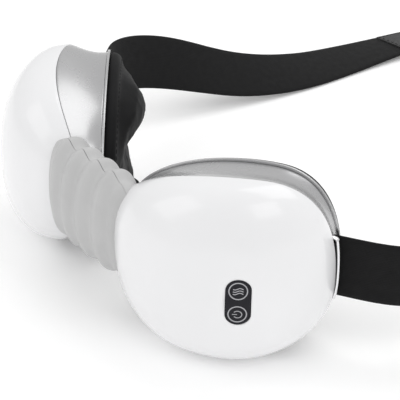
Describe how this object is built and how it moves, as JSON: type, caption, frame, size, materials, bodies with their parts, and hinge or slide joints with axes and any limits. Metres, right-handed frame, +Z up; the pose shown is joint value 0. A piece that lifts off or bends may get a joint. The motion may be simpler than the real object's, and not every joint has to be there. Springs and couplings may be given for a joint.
{
  "type": "eye massager mask",
  "caption": "Folding eye massager mask with domed white pods, silver side bands, a ribbed silicone bridge, black face pads, push buttons and a two-part elastic strap.",
  "frame": {"origin": "in the nose gap, on the surface that the mask stands on, straight below the fold axis", "axes": "+Z up along the fold axis, +Y backward towards the wearer's face and along the strap, +X towards the pod with the buttons"},
  "size_m": [0.2906, 0.3295, 0.073],
  "materials": {
    "cover_white": "glossy moulded",
    "band_silver": "satin silver paint",
    "bar_chrome": "polished",
    "button_ring": "satin",
    "bridge_silicone": "matte silicone",
    "pad_cover": "fine-grain soft coated fabric",
    "strap_webbing": "woven elastic",
    "hook_tape": "hook tape",
    "loop_tape": "loop tape",
    "panel_black": "satin soft-touch",
    "inner_plastic": "moulded",
    "hinge_nylon": "moulded",
    "steel": "plated",
    "airbag_film": "soft film",
    "heater_film": "film",
    "board_green": "solder mask",
    "motor_steel": "drawn can",
    "valve_white": "moulded",
    "speaker_black": "moulded",
    "battery_foil": "foil pouch",
    "wire_red": "insulation",
    "tube_clear": "silicone tube"
  },
  "bodies": {
    "right_pod": {"air_pump": "motor_steel", "air_valve": "valve_white", "bridge_air_tube": "tube_clear", "bridge_front_shell": "bridge_silicone", "bridge_rear_shell": "bridge_silicone", "bridge_wires": "wire_red", "button_board": "board_green", "button_rings": "button_ring", "charging_port": "steel", "control_panel": "panel_black", "hinge_pin": "steel", "main_board": "board_green", "nose_web": "pad_cover", "right_airbag": "airbag_film", "right_bracket_screws": "steel", "right_chassis": "inner_plastic", "right_cover_screws": "steel", "right_face_pad": "pad_cover", "right_front_cover": "cover_white", "right_heating_film": "heater_film", "right_hinge_bracket": "hinge_nylon", "right_loop_patch": "loop_tape", "right_rear_frame": "band_silver", "right_side_band": "band_silver", "right_speaker": "speaker_black", "right_strap": "strap_webbing", "right_strap_bar": "bar_chrome", "right_vibration_motor": "motor_steel"},
    "left_pod": {"left_airbag": "airbag_film", "left_bracket_screws": "steel", "left_chassis": "inner_plastic", "left_cover_screws": "steel", "left_face_pad": "pad_cover", "left_front_cover": "cover_white", "left_heating_film": "heater_film", "left_hinge_bracket": "hinge_nylon", "left_hook_patch": "hook_tape", "left_rear_frame": "band_silver", "left_side_band": "band_silver", "left_speaker": "speaker_black", "left_strap": "strap_webbing", "left_strap_bar": "bar_chrome", "left_vibration_motor": "motor_steel", "battery": "battery_foil"},
    "mode_button": {"mode_button": "panel_black"},
    "power_button": {"power_button": "panel_black"}
  },
  "joints": [
    {"name": "fold_hinge", "type": "hinge", "parent": "right_pod", "child": "left_pod", "pos_m": [0, 0, 0.0396], "axis": [0, 0, 1], "range_deg": [-78, 68], "deforming": ["bridge_front_shell", "bridge_rear_shell", "nose_web", "bridge_wires", "bridge_air_tube", "left_strap", "left_hook_patch"]},
    {"name": "mode_press", "type": "slide", "parent": "right_pod", "child": "mode_button", "axis": [-0.8139, 0.5806, 0.0221], "range_m": [0, 0.0005], "stiffness_N_per_m": 1500},
    {"name": "power_press", "type": "slide", "parent": "right_pod", "child": "power_button", "axis": [-0.8139, 0.5806, 0.0221], "range_m": [0, 0.0005], "stiffness_N_per_m": 1500}
  ]
}
